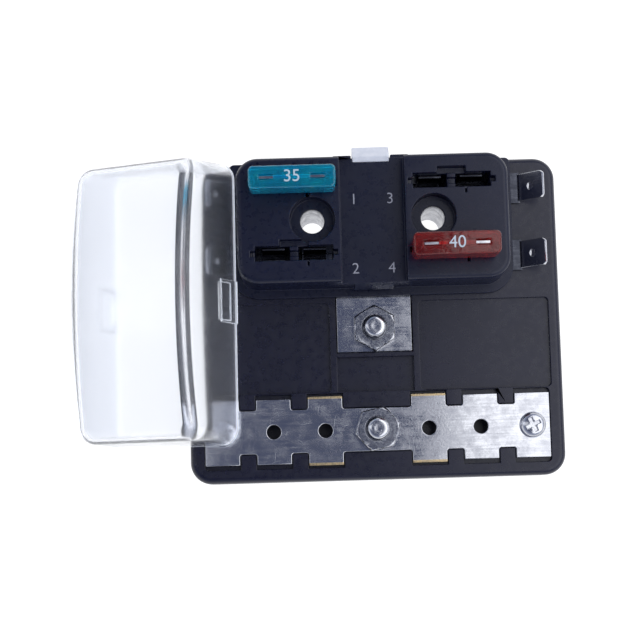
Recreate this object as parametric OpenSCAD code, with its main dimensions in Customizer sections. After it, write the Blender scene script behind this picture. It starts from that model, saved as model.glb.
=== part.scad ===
// Four-way blade fuse block on a moulded base, with a positive input plate, a negative bus bar,
// side tab terminals and a lift-off clear cover that lies beside it, leaning on the base's edge.
// Origin: centre of the base's mounting face.  +X: along the bus bar.  +Y: towards the fuses.

/* [Base] */
// Width of the base
base_w = 87; // [86:0.5:90]
// Depth of the base
base_d = 74.4; // [74:0.1:76]
// Height of the base's top face
base_h = 9.5; // [9.5:0.1:9.8]
// Corner radius of the base, seen from above
base_corner_r = 5; // [4:0.5:6]
// Radius of the base's rounded top edge
base_edge_r = 1.5; // [1:0.1:1.6]
// Thickness of the base's side walls
base_wall = 2.4; // [2:0.1:3]
// Thickness of the plate that closes the underside
back_plate_t = 1.6; // [1.4:0.1:1.8]
// Depth of the two sunk panels beside the channel
panel_sink = 0.9; // [0.5:0.1:1.2]

/* [Fuse block] */
// Length of the fuse block
block_w = 62; // [61:0.5:63]
// Depth of the fuse block
block_d = 28.8; // [28:0.1:29]
// Height of the fuse block's top face
block_top = 24; // [23.5:0.1:25]
// Corner radius of the fuse block, seen from above
block_corner_r = 5; // [4:0.5:6]
// Radius of the fuse block's rounded top edge
block_edge_r = 1.3; // [0.8:0.1:1.5]
// Width of the sunk channel between the two fuse columns
label_channel_w = 14.8; // [14:0.2:15]
// Height of that channel's floor
label_channel_z = 20; // [19:0.5:21]
// Distance between the two mounting holes
mount_pitch = 27.56; // [27:0.02:28]
// Radius of the mounting holes
mount_r = 2.75; // [2.6:0.05:2.8]
// Radius of the recess above each mounting hole
counterbore_r = 5.1; // [4.8:0.1:5.2]

/* [Fuse slots] */
// Distance of each fuse column from the centre line
column_x = 18.1; // [18:0.1:18.3]
// Distance between the two fuse rows
row_pitch = 15.8; // [15.6:0.1:16]
// Distance from a fuse's centre to each of its blades
blade_x = 4.7; // [4.6:0.05:4.8]
// Width of a fuse blade
blade_w = 5.2; // [5:0.1:5.3]
// Thickness of a fuse blade
blade_t = 0.65; // [0.6:0.05:0.7]

/* [Bus bars] */
// Distance between the places along the negative bus bar
bar_pitch = 12; // [11.8:0.1:12.1]
// Depth of the negative bus bar at its tongues
bar_d = 15; // [14.6:0.2:15.4]
// Depth of the negative bus bar between its tongues
bar_neck_d = 10; // [9.6:0.2:10.4]
// Radius of the tapped holes in the negative bus bar
bar_hole_r = 1.65; // [1.5:0.05:1.8]
// Width of the positive input plate
plate_w = 17.5; // [17:0.1:17.5]
// Radius of the input studs
stud_r = 2.4; // [2.3:0.05:2.5]
// Height of the studs' tips
stud_top = 16.6; // [16:0.2:18]
// Distance across the flats of the stud nuts
nut_af = 9.4; // [9:0.1:9.6]
// Height of the stud nuts
nut_h = 3.4; // [3:0.1:3.6]

/* [Cover] */
// Length of the cover at its rim
cover_l = 65.4; // [64:0.2:66]
// Width of the cover at its rim
cover_w = 33.2; // [33:0.1:33.6]
// Height of the cover's walls at its ends
cover_h = 18; // [17:0.2:19]
// Rise of the crowned top above the ends
cover_crown = 3.2; // [2:0.2:4]
// Thickness of the cover's walls at the rim
cover_wall = 1.2; // [1:0.1:1.4]
// Corner radius of the cover, seen from above
cover_corner_r = 4; // [3:0.2:5]
// Radius of the cover's outer top edge
cover_edge_r = 1.2; // [0.8:0.1:1.6]
// Height of the thickened corner inside the cover's front top edge
cover_fillet_h = 7.5; // [5:0.5:8]
// Lean of the cover as it lies against the base's edge
cover_lean = 27.6; // [27.2:0.1:28.4]

/* [Hidden] */
$fn = 64;

cut = 0.1;                       // overrun that lets a cut break cleanly through a face
gap = 0.2;                       // assembly gap round a seated piece

// Heights inside the base
ceiling_z = 6;
bar_floor_z = 8;
bar_t = 1.6;
bar_top = bar_floor_z + bar_t;
plate_floor_z = 7.3;
plate_t = 1.5;
plate_top = plate_floor_z + plate_t;
counterbore_z = 20.4;
sleeve_top = 19.4;

// Places on the base
bar_y = -25.55;
stud_y = -2.1;
hole_y = 21.8;
row_mid_y = 22.1;
panel_x0 = 10.4;
panel_x1 = 40.8;
panel_y0 = -16.7;
panel_y1 = 4.2;
plate_front_y = -7.45;
plate_rear_y = row_mid_y + row_pitch / 2 + 2.6;
bar_screw_x = 3 * bar_pitch;
back_screw_at = [[-37.5, -31.3], [37.5, -31.3], [-37.5, 31.3], [37.5, 31.3]];
block_screw_x = 27.6;

// Bosses and ribs under the base's skin
boss_r = 3.6;
sleeve_boss_r = 5.2;
corner_boss_r = 3.2;
stud_boss_r = 6.4;
rib_t = 1.4;
rib_x = 22;
rib_y = [-14, 9];

// Rear latch: its foot is caught under a skin, and only its lip shows in the label channel
latch_w = 8.5;
latch_z = 14.2;
latch_skin_z = 18.4;
latch_foot = 2.5;
latch_lip = 0.9;

// Rim pads of the cover, and the pockets behind them
pad_l = 9.8;
pad_z = 0.2;
pad_top = 7.4;
pad_t = 1.2;
pocket_l = 8.6;
pocket_z = 2.4;
pocket_depth = 0.5;

// Where the cover's upper rim rests, and its slight turn seen from above
cover_rest_x = -31.56;
cover_rest_y = 4.16;
cover_turn = -0.4;

// The fuse positions, in the order of their numbers: side (-1 left, 1 right) and row (-1 front, 1 rear)
slots = [[-1, 1], [-1, -1], [1, 1], [1, -1]];
function slot_x(slot) = slots[slot - 1][0] * column_x;
function slot_y(slot) = row_mid_y + slots[slot - 1][1] * row_pitch / 2;
function slot_side(slot) = slots[slot - 1][0];

// Slot shape
pocket_w = 7.85;
bridge_w = 2;
pocket_d = 3.4;
bridge_top = 22.8;

// Contacts
strip_t = 0.8;
strip_top = base_h + strip_t;
leaf_gap = blade_t + 0.3;
clip_h = 11.2;
tab_root_x = 35;
tab_w = 6.3;
tab_l = 8.1;
tab_rise = 48;

// Studs
stud_head_af = 8;
stud_head_h = 2.8;
stud_hole_r = 2.6;

// Fuse shape
fuse_w = 19.4;
fuse_d = 5.1;
fuse_top = 33.8;
fuse_shoulder = 26.5;
fuse_foot = 23.2;
fuse_tip = 15;
element_top = 33;

// Colours
moulded_black = [0.10, 0.10, 0.13];
tinned = [0.75, 0.76, 0.78];
steel = [0.62, 0.63, 0.65];
clear = [0.85, 0.90, 0.98, 0.35];

// ---- shared shapes ----

// Rectangle with round corners, centred
module rounded_rect(w, d, r) {
    square([w - 2 * r, d], center = true);
    square([w, d - 2 * r], center = true);
    for (x = [-1, 1], y = [-1, 1])
        translate([x * (w / 2 - r), y * (d / 2 - r)])
            circle(r = r);
}

// Upright half profile: a strip of width w and height h with its top right corner rounded
module soft_profile(w, h, e) {
    square([w - e, h]);
    square([w, h - e]);
    translate([w - e, h - e])
        circle(r = e);
}

// Slab with round upright corners and a rounded top edge
module soft_slab(w, d, h, r, e) {
    for (x = [-1, 1], y = [-1, 1])
        translate([x * (w / 2 - r), y * (d / 2 - r), 0])
            rotate_extrude()
                soft_profile(r, h, e);
    for (a = [0, 180])
        rotate([90, 0, a])
            translate([0, 0, -(d / 2 - r)])
                linear_extrude(d - 2 * r)
                    soft_profile(w / 2, h, e);
    for (a = [90, 270])
        rotate([90, 0, a])
            translate([0, 0, -(w / 2 - r)])
                linear_extrude(w - 2 * r)
                    soft_profile(d / 2, h, e);
}

// Six-sided prism outline by its distance across flats, with points along X
module hexagon(af) {
    circle(r = af / 2 / cos(30), $fn = 6);
}

// ---- base ----

// Outline of the space under the base's skin, with its bosses and ribs left standing
module base_hollow() {
    difference() {
        rounded_rect(base_w - 2 * base_wall, base_d - 2 * base_wall, base_corner_r - base_wall);
        for (x = [-1, 1]) {
            translate([x * mount_pitch / 2, hole_y])
                circle(r = sleeve_boss_r);
            for (k = [1:3])
                translate([x * k * bar_pitch, bar_y])
                    circle(r = boss_r);
            translate([x * rib_x, 0])
                square([rib_t, base_d], center = true);
        }
        for (p = back_screw_at)
            translate(p)
                circle(r = corner_boss_r);
        difference() {
            for (y = [bar_y, stud_y])
                translate([0, y])
                    circle(r = stud_boss_r);
            for (y = [bar_y, stud_y])
                translate([0, y])
                    hexagon(stud_head_af + gap);
        }
        for (y = rib_y)
            translate([0, y])
                square([base_w, rib_t], center = true);
    }
}

// Outline of the positive bus: a spine under the block with an arm to each pair of input clips
module bus_outline(grow) {
    translate([-plate_w / 2 - grow, plate_front_y - grow])
        square([plate_w + 2 * grow, plate_rear_y - plate_front_y + 2 * grow]);
    for (row = [-1, 1])
        translate([0, row_mid_y + row * row_pitch / 2])
            square([2 * (column_x - blade_x + 3) + 2 * grow, 5 + 2 * grow], center = true);
}

// Outline of the pocket for the negative bus bar, with the lugs that stand in its notches
module bar_pocket() {
    pocket_half = bar_d / 2 + 1.1;
    difference() {
        rounded_rect(2 * (bar_screw_x + 4) + 2 * gap, 2 * pocket_half, 1);
        for (y = [-1, 1]) {
            for (x = [-1, 1], k = [1.5, 2.5])
                translate([x * k * bar_pitch, y * (pocket_half + bar_neck_d / 2 + gap) / 2])
                    square([3.5, pocket_half - bar_neck_d / 2 - gap], center = true);
            translate([0, y * (pocket_half + bar_neck_d / 2 + gap) / 2])
                square([15.5, pocket_half - bar_neck_d / 2 - gap], center = true);
        }
    }
}

module base() {
    color(moulded_black)
        difference() {
            soft_slab(base_w, base_d, base_h, base_corner_r, base_edge_r);
            // underside: seat of the back plate, then the hollow above it
            translate([0, 0, -cut])
                linear_extrude(back_plate_t + cut)
                    rounded_rect(base_w - 3, base_d - 3, base_corner_r - 1.5);
            translate([0, 0, back_plate_t - cut])
                linear_extrude(ceiling_z - back_plate_t + cut)
                    base_hollow();
            // sunk panels and the channel in front of the input plate
            for (x = [-1, 1])
                translate([x * (panel_x0 + panel_x1) / 2, (panel_y0 + panel_y1) / 2, base_h - panel_sink])
                    linear_extrude(panel_sink + cut)
                        rounded_rect(panel_x1 - panel_x0, panel_y1 - panel_y0, 1);
            translate([-plate_w / 2 - gap, panel_y0, bar_floor_z])
                cube([plate_w + 2 * gap, plate_front_y - 1.2 - panel_y0, base_h]);
            // seat of the positive bus
            translate([0, 0, plate_floor_z])
                linear_extrude(base_h)
                    bus_outline(gap);
            // pocket and screw wells of the negative bus bar
            translate([0, bar_y, bar_floor_z])
                linear_extrude(base_h)
                    bar_pocket();
            for (x = [-2, -1, 1, 2])
                translate([x * bar_pitch, bar_y, 2.6])
                    cylinder(r = 2.1, h = base_h);
            for (x = [-1, 1]) {
                translate([x * bar_screw_x, bar_y, 2.6])
                    cylinder(r = 1.7, h = base_h);
                translate([x * mount_pitch / 2, hole_y, -cut])
                    cylinder(r = mount_r + 0.8, h = base_h + 2 * cut);
                translate([x * block_screw_x, row_mid_y, -cut])
                    cylinder(r = 1.7, h = base_h + 2 * cut);
            }
            // shanks of the studs
            for (y = [bar_y, stud_y])
                translate([0, y, ceiling_z - cut])
                    cylinder(r = stud_hole_r, h = base_h);
            // threads of the back plate's screws
            for (p = back_screw_at)
                translate([p[0], p[1], 0])
                    cylinder(r = 1.3, h = 5.4);
        }
}

module back_plate() {
    color([0.16, 0.16, 0.18])
        difference() {
            linear_extrude(back_plate_t)
                rounded_rect(base_w - 3 - gap, base_d - 3 - gap, base_corner_r - 1.6);
            for (x = [-1, 1])
                translate([x * mount_pitch / 2, hole_y, -cut])
                    cylinder(r = mount_r + 0.8, h = back_plate_t + 2 * cut);
            for (p = back_screw_at)
                translate([p[0], p[1], -cut]) {
                    cylinder(r = 1.5, h = back_plate_t + 2 * cut);
                    cylinder(r1 = 2.9 + cut, r2 = 1.5, h = 1.4 + cut);
                }
        }
}

// Cross recess of a screw head whose top lies at z = 0
module cross_recess(size) {
    for (a = [0, 90])
        rotate([0, 0, a])
            translate([0, 0, -0.5])
                cube([size, size / 4, 1.2], center = true);
}

// Flat-headed screw that holds the back plate, pointing up
module back_screw(number) {
    color(steel)
        translate([back_screw_at[number - 1][0], back_screw_at[number - 1][1], 0])
            difference() {
                union() {
                    cylinder(r1 = 2.7, r2 = 1.3, h = 1.4);
                    cylinder(r = 1.3, h = 5.2);
                }
                rotate([180, 0, 0])
                    cross_recess(2.8);
            }
}

// ---- fuse block ----

// Outline of one slot at the top face, for a fuse across X
module slot_mouth() {
    for (x = [-1, 1])
        translate([x * (bridge_w + pocket_w) / 2, 0])
            square([pocket_w, pocket_d], center = true);
    square([19.9, 1.3], center = true);
    translate([0, (pocket_d + 1.4) / 2])
        square([6.5, 1.4], center = true);
}

module slot_cut() {
    translate([0, 0, block_top - 2.4])
        linear_extrude(2.4 + cut)
            slot_mouth();
    translate([0, 0, bridge_top])
        linear_extrude(block_top - bridge_top + cut)
            square([3, pocket_d], center = true);
    for (x = [-1, 1])
        translate([x * (bridge_w + pocket_w) / 2, 0, base_h - cut])
            linear_extrude(block_top - base_h)
                square([pocket_w, pocket_d], center = true);
    // split beside the outer pocket that lets the wall flex
    translate([3.2, -pocket_d / 2 - 0.5, block_top - 1])
        cube([0.4, 1.6, 2.2], center = true);
}

// Foot flange of the block, square at the base's rear edge
module block_flange() {
    flange_w = block_w + 3.8;
    front_y = hole_y - block_d / 2 - 2;
    rear_y = base_d / 2;
    translate([0, (front_y + rear_y) / 2, base_h]) {
        linear_extrude(1.5)
            rounded_rect(flange_w, rear_y - front_y, block_corner_r + 1.5);
        linear_extrude(1.5)
            translate([0, (rear_y - front_y) / 4])
                rounded_rect(flange_w, (rear_y - front_y) / 2, 1.2);
    }
}

module fuse_block() {
    rear_y = hole_y + block_d / 2;
    front_y = hole_y - block_d / 2;
    color(moulded_black)
        difference() {
            union() {
                translate([0, hole_y, base_h])
                    soft_slab(block_w, block_d, block_top - base_h, block_corner_r, block_edge_r);
                block_flange();
                // catch for the cover on the front wall
                translate([0, front_y + 1, 0])
                    rotate([90, 0, 90])
                        linear_extrude(9, center = true)
                            polygon([[0, 14], [-1.9, 14.2], [-1.9, 15], [-1, 18.2], [0, 18.2]]);
                // guide ribs on both sides of the rear latch
                for (x = [-1, 1])
                    translate([x * 6.6, rear_y, (base_h + label_channel_z - 0.4) / 2])
                        cube([4.2, 1.6, label_channel_z - 0.4 - base_h], center = true);
            }
            // sunk label channel, open at both ends
            translate([-label_channel_w / 2, 0, label_channel_z])
                cube([label_channel_w, base_d, block_top]);
            for (slot = [1:4])
                translate([slot_x(slot), slot_y(slot), 0])
                    slot_cut();
            // mounting holes with their recesses
            for (x = [-1, 1]) {
                translate([x * mount_pitch / 2, hole_y, base_h - cut]) {
                    cylinder(r = mount_r + 0.8, h = sleeve_top - base_h + cut);
                    cylinder(r = mount_r, h = block_top);
                }
                translate([x * mount_pitch / 2, hole_y, counterbore_z])
                    cylinder(r = counterbore_r, h = block_top);
                translate([x * block_screw_x, row_mid_y, base_h - cut])
                    cylinder(r = 1.5, h = 8);
            }
            // way out for the strip of each terminal
            for (slot = [1:4])
                translate([slot_side(slot) * 28, slot_y(slot), base_h])
                    cube([2 * 8, 7.6, 2 * (strip_t + gap)], center = true);
            // seat of the rear latch
            translate([-latch_w / 2, rear_y - latch_foot, latch_z])
                cube([latch_w, 2 * latch_foot, latch_skin_z - latch_z]);
            translate([-latch_w / 2, rear_y - latch_lip, latch_z])
                cube([latch_w, 2 * latch_foot, block_top]);
        }
}

// Countersunk screw that holds the block from below
module block_screw(side) {
    color(steel)
        translate([side * block_screw_x, row_mid_y, 0])
            difference() {
                union() {
                    translate([0, 0, ceiling_z - 2])
                        cylinder(r = 2.9, h = 2);
                    translate([0, 0, ceiling_z - 1])
                        cylinder(r = 1.5, h = 12);
                }
                translate([0, 0, ceiling_z - 2])
                    rotate([180, 0, 0])
                        cross_recess(3);
            }
}

// Metal sleeve that takes the load of a mounting screw
module mount_sleeve(side) {
    color(tinned)
        translate([side * mount_pitch / 2, hole_y, 0])
            difference() {
                cylinder(r = mount_r + 0.8, h = sleeve_top);
                translate([0, 0, -cut])
                    cylinder(r = mount_r, h = sleeve_top + 2 * cut);
            }
}

// Light latch tongue at the rear, ramped so that the cover snaps over it
module rear_latch() {
    rear_y = hole_y + block_d / 2;
    color([0.88, 0.89, 0.92])
        rotate([90, 0, 90])
            linear_extrude(latch_w, center = true)
                polygon([
                    [rear_y - latch_foot, latch_z], [rear_y, latch_z], [rear_y, 16], [rear_y + 2.7, 16.4],
                    [rear_y + 3, 17], [rear_y + 3, 17.6], [rear_y + 0.4, label_channel_z],
                    [rear_y - latch_lip, label_channel_z], [rear_y - latch_lip, latch_skin_z],
                    [rear_y - latch_foot, latch_skin_z]
                ]);
}

// ---- conductors ----

module positive_bus() {
    color(tinned)
        translate([0, 0, plate_floor_z])
            linear_extrude(plate_t)
                difference() {
                    bus_outline(0);
                    translate([0, stud_y])
                        circle(r = stud_hole_r);
                }
}

// Half outline of a spring clip, from its foot up; the blade goes in between the leaves at the top
clip_half = [[1.5, 0], [1.5, 3], [leaf_gap / 2 + 0.5, clip_h - 2.9], [1.6, clip_h], [1.1, clip_h],
    [leaf_gap / 2, clip_h - 2.9], [1, 3.2], [1, strip_t]];
clip_mirrored = [for (i = [len(clip_half) - 1:-1:0]) [-clip_half[i][0], clip_half[i][1]]];

// Spring clip with two leaves, across X
module spring_clip() {
    rotate([90, 0, 90])
        linear_extrude(blade_w, center = true)
            polygon(concat(clip_half, clip_mirrored));
}

module input_clip(slot) {
    color(tinned)
        translate([slot_x(slot) - slot_side(slot) * blade_x, slot_y(slot), plate_top])
            spring_clip();
}

// Flat of a tab from its bend, along X: corners clipped, tip bevelled, with a detent hole
module tab_blade() {
    difference() {
        intersection() {
            linear_extrude(strip_t)
                polygon([[-0.2, -tab_w / 2], [tab_l - 0.9, -tab_w / 2], [tab_l, -tab_w / 2 + 0.7],
                    [tab_l, tab_w / 2 - 0.7], [tab_l - 0.9, tab_w / 2], [-0.2, tab_w / 2]]);
            rotate([90, 0, 0])
                linear_extrude(tab_w, center = true)
                    polygon([[-0.2, 0], [tab_l - 0.6, 0], [tab_l, 0.3], [tab_l, strip_t - 0.3],
                        [tab_l - 0.6, strip_t], [-0.2, strip_t]]);
        }
        translate([tab_l / 2, 0, -cut])
            cylinder(r = 0.85, h = strip_t + 2 * cut);
    }
}

// Output terminal: spring clip, strip through the block's side wall and the tab that rises outside it
module terminal(slot) {
    clip_x = column_x + blade_x;
    color(tinned)
        translate([0, slot_y(slot), base_h])
            rotate([0, 0, slot_side(slot) > 0 ? 0 : 180]) {
                translate([clip_x, 0, 0])
                    spring_clip();
                translate([clip_x - blade_w / 2, -1.5, 0])
                    cube([blade_w, 3, strip_t]);
                translate([clip_x, -3.6, 0])
                    cube([tab_root_x - clip_x, 7.2, strip_t]);
                translate([tab_root_x, 0, 0])
                    rotate([0, -tab_rise, 0])
                        tab_blade();
            }
}

module bar_outline() {
    difference() {
        union() {
            square([2 * (bar_screw_x + 4), bar_d], center = true);
            for (x = [-1, 1])
                translate([x * bar_pitch, 0])
                    square([8, bar_d + 1], center = true);
        }
        for (y = [-1, 1]) {
            for (x = [-1, 1], k = [1.5, 2.5])
                translate([x * k * bar_pitch, y * (bar_neck_d / 2 + 2.5)])
                    rounded_rect(4, 5, 0.6);
            translate([0, y * (bar_neck_d / 2 + 2.5)])
                rounded_rect(16, 5, 0.6);
        }
        for (x = [-2, -1, 1, 2])
            translate([x * bar_pitch, 0])
                circle(r = bar_hole_r);
        for (x = [-1, 1])
            translate([x * bar_screw_x, 0])
                circle(r = 1.8);
        circle(r = stud_hole_r);
    }
}

module negative_bar() {
    color(tinned)
        translate([0, bar_y, bar_floor_z])
            linear_extrude(bar_t)
                bar_outline();
}

// Stud with a hexagonal head caught under the base's skin; seat_z is the conductor's top face.
// Its free end, above the nut, has the thread's full radius, and the shank inside the nut its core radius.
module stud(y, seat_z) {
    free_z = seat_z + nut_h + 0.15;
    color(steel)
        translate([0, y, 0]) {
            translate([0, 0, ceiling_z - stud_head_h])
                linear_extrude(stud_head_h)
                    hexagon(stud_head_af);
            translate([0, 0, ceiling_z])
                cylinder(r = stud_hole_r, h = seat_z - ceiling_z);
            translate([0, 0, seat_z])
                cylinder(r = stud_r - 0.25, h = free_z - seat_z);
            translate([0, 0, free_z])
                cylinder(r = stud_r, h = stud_top - 0.6 - free_z);
            translate([0, 0, stud_top - 0.6])
                cylinder(r1 = stud_r, r2 = stud_r - 0.6, h = 0.6);
        }
}

// Nut on a stud, its corners chamfered, turned by angle
module nut(y, seat_z, angle) {
    color(steel)
        translate([0, y, seat_z + 0.05])
            rotate([0, 0, angle])
                difference() {
                    intersection() {
                        linear_extrude(nut_h)
                            hexagon(nut_af);
                        rotate_extrude()
                            polygon([[0, 0], [nut_af / 2, 0], [nut_af / 2 + 0.8, 0.5],
                                [nut_af / 2 + 0.8, nut_h - 0.5], [nut_af / 2 - 0.1, nut_h], [0, nut_h]]);
                    }
                    translate([0, 0, -cut])
                        cylinder(r = stud_r + 0.05, h = nut_h + 2 * cut);
                    // countersunk mouth of the bore
                    translate([0, 0, nut_h - 0.45])
                        cylinder(r1 = stud_r, r2 = stud_r + 0.55, h = 0.55);
                }
}

// Pan-headed screw that clamps the negative bus bar
module bar_screw(side) {
    color(steel)
        translate([side * bar_screw_x, bar_y, bar_top])
            difference() {
                union() {
                    rotate_extrude()
                        polygon([[0, 0], [3, 0], [3, 0.8], [2.7, 1.4], [2, 1.8], [1, 2], [0, 2]]);
                    translate([0, 0, -6.6])
                        cylinder(r = 1.7, h = 6.7);
                }
                translate([0, 0, 2])
                    rotate([0, 0, 25])
                        cross_recess(3.4);
            }
}

// ---- fuses ----

// Plastic of a blade fuse, centred on its slot: head, shoulders, foot, slit for the metal, test windows
module fuse_body() {
    difference() {
        union() {
            translate([0, 0, fuse_shoulder])
                soft_slab(fuse_w, fuse_d, fuse_top - fuse_shoulder, 1.1, 0.5);
            translate([0, 0, fuse_foot])
                linear_extrude(fuse_shoulder - fuse_foot + cut)
                    square([17.2, 3.1], center = true);
        }
        translate([0, 0, fuse_foot - cut])
            linear_extrude(element_top - fuse_foot + cut + 0.05)
                square([2 * blade_x + blade_w + 0.3, blade_t + 0.15], center = true);
        for (x = [-1, 1])
            translate([x * 5.8, 0, fuse_top])
                cube([3.4, 1.3, 5], center = true);
    }
}

// Metal of a blade fuse: two blades and the thin link between them
module fuse_element() {
    rotate([90, 0, 0])
        linear_extrude(blade_t, center = true) {
            for (x = [-1, 1])
                translate([x * blade_x, (fuse_tip + element_top) / 2])
                    square([blade_w, element_top - fuse_tip], center = true);
            difference() {
                translate([0, 27.5])
                    circle(r = 3);
                translate([0, 27.5])
                    circle(r = 2.1);
                translate([0, 24.4])
                    square([8, 6], center = true);
            }
        }
}

module fuse_35_body() {
    color([0.10, 0.62, 0.72, 0.8])
        translate([slot_x(1), slot_y(1), 0])
            fuse_body();
}

module fuse_35_element() {
    color(tinned)
        translate([slot_x(1), slot_y(1), 0])
            fuse_element();
}

module fuse_40_body() {
    color([0.85, 0.25, 0.20, 0.8])
        translate([slot_x(4), slot_y(4), 0])
            fuse_body();
}

module fuse_40_element() {
    color(tinned)
        translate([slot_x(4), slot_y(4), 0])
            fuse_element();
}

// ---- cover ----

// Row of ball ends along one rising long edge of a cover form: side picks the edge, reach is its half length,
// inset its distance from the rim's line, r the balls' radius and tall their height over their radius
module cover_edge(side, w, h, reach, inset, r, tall) {
    for (k = [-1:0.25:1])
        translate([side * (w / 2 - inset - r), k * reach, h - r * tall + cover_crown * (1 - k * k)])
            scale([1, 1, tall])
                sphere(r = r, $fn = 24);
}

// Outside of the cover with its rim at z = 0: slightly drafted walls, rounded edges and a crowned top
module cover_outside() {
    reach = cover_l / 2 - 1 - cover_corner_r;
    hull() {
        linear_extrude(0.5)
            rounded_rect(cover_w, cover_l, cover_corner_r);
        for (side = [-1, 1])
            cover_edge(side, cover_w, cover_h, reach, 0.2, cover_edge_r, 1);
        for (x = [-1, 1], y = [-1, 1])
            translate([x * (cover_w / 2 - 0.2 - cover_corner_r), y * reach, cover_h - cover_edge_r])
                rotate_extrude($fn = 32)
                    translate([cover_corner_r - cover_edge_r, 0])
                        circle(r = cover_edge_r, $fn = 20);
    }
}

// Cavity of the cover, with a thickened corner along the edge on the +X side
module cover_inside() {
    l = cover_l - 2 * cover_wall;
    w = cover_w - 2 * cover_wall;
    h = cover_h - cover_wall - 0.2 + cut;
    fillet_w = 2.6;
    translate([0, 0, -cut])
        hull() {
            linear_extrude(0.5)
                rounded_rect(w, l, cover_corner_r - cover_wall);
            cover_edge(-1, w, h, l / 2 - 1 - 1.2, 0.4, 1.2, 1);
            cover_edge(1, w, h, l / 2 - 1 - fillet_w, 0.4, fillet_w, cover_fillet_h / fillet_w);
        }
}

module cover_shape() {
    difference() {
        union() {
            cover_outside();
            // raised pads at the middle of both long rims
            for (x = [-1, 1])
                translate([x * (cover_w / 2 - 0.3), 0, (pad_z + pad_top) / 2])
                    cube([pad_t, pad_l, pad_top - pad_z], center = true);
        }
        cover_inside();
        // pockets behind the pads that snap over the block's catches
        translate([0, 0, (pocket_z + pad_top) / 2])
            cube([cover_w - 2 * cover_wall + 2 * pocket_depth, pocket_l, pad_top - pocket_z], center = true);
    }
}

// The cover as it lies: left rim on the table, leaning over the base's left edge
module cover() {
    color(clear)
        translate([cover_rest_x, cover_rest_y, cover_w * sin(cover_lean)])
            rotate([0, -cover_lean, cover_turn])
                translate([-cover_w / 2, 0, 0])
                    cover_shape();
}

base();
back_plate();
back_screw(1);  // back_screw_1
back_screw(2);  // back_screw_2
back_screw(3);  // back_screw_3
back_screw(4);  // back_screw_4
fuse_block();
block_screw(-1);  // block_screw_left
block_screw(1);  // block_screw_right
mount_sleeve(-1);  // mount_sleeve_left
mount_sleeve(1);  // mount_sleeve_right
rear_latch();
positive_bus();
stud(stud_y, plate_top);  // positive_stud
nut(stud_y, plate_top, 30);  // positive_nut
input_clip(1);  // input_clip_1
input_clip(2);  // input_clip_2
input_clip(3);  // input_clip_3
input_clip(4);  // input_clip_4
terminal(1);  // terminal_1
terminal(2);  // terminal_2
terminal(3);  // terminal_3
terminal(4);  // terminal_4
negative_bar();
stud(bar_y, bar_top);  // negative_stud
nut(bar_y, bar_top, 12);  // negative_nut
bar_screw(-1);  // bar_screw_left
bar_screw(1);  // bar_screw_right
fuse_35_body();
fuse_35_element();
fuse_40_body();
fuse_40_element();
cover();
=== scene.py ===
"""Looks of a four-way blade fuse block: black housing, fuses, bus bars, studs and a clear cover beside."""

import math

import bmesh
import bpy
from mathutils import Matrix, Vector


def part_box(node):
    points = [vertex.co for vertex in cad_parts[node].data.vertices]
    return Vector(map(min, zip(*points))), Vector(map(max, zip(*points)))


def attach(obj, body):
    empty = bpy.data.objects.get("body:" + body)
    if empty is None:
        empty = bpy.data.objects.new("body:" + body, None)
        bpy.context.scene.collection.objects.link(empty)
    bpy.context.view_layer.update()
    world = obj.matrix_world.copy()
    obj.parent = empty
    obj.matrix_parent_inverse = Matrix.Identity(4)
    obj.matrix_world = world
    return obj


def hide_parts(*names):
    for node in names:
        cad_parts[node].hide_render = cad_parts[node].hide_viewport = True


MM = 0.001
WELD = 1e-6  # points closer than this, in metres, are one point

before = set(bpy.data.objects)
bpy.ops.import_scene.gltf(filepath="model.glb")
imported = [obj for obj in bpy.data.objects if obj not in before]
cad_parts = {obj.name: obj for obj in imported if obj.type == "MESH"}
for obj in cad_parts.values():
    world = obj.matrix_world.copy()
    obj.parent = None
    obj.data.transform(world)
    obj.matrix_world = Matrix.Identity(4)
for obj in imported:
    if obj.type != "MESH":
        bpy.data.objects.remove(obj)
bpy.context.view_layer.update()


# ---- camera and stage ----

LENS = 98.92  # mm, on a sensor SENSOR mm wide
SENSOR = 36
CLIP_START = 0.01
CAMERA_PLACE = (-0.01559, -0.04084, 0.41750)
CAMERA_TURNS = (("X", 5.752), ("Y", -0.419), ("Z", -1.647))  # degrees, one after another

# The surround's colours, each with its place on the way from the horizon (0) to overhead (1)
HORIZON = (0.15, (0.95, 0.96, 1.0))
MID_SKY = (0.55, (0.37, 0.41, 0.54))
OVERHEAD = (0.9, (0.085, 0.100, 0.165))

FLOOR_HALF = 2.5
FLOOR_Z = -2e-4  # just under the block, so that the two don't share a plane
FLOOR_COLOUR = (0.25, 0.25, 0.255, 1)
FLOOR_ROUGHNESS = 0.7
FLOOR_GLOW = 1.0


def add_camera():
    """Looks down on the block from a little in front of it, as a product photograph does."""
    data = bpy.data.cameras.new("camera")
    data.lens = LENS
    data.sensor_width = SENSOR
    data.clip_start = CLIP_START
    camera = bpy.data.objects.new("camera", data)
    bpy.context.scene.collection.objects.link(camera)
    turn = Matrix.Identity(4)
    for axis, degrees in CAMERA_TURNS:
        turn = turn @ Matrix.Rotation(math.radians(degrees), 4, axis)
    camera.matrix_world = Matrix.Translation(CAMERA_PLACE) @ turn
    bpy.context.scene.camera = camera


def add_area_light(name, place, target, size, power):
    data = bpy.data.lights.new(name, "AREA")
    data.shape = "RECTANGLE"
    data.size = size[0]
    data.size_y = size[1]
    data.energy = power
    light = bpy.data.objects.new(name, data)
    light.location = place
    aim = Vector(target) - Vector(place)
    light.rotation_euler = aim.to_track_quat("-Z", "Y").to_euler()
    bpy.context.scene.collection.objects.link(light)


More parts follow.
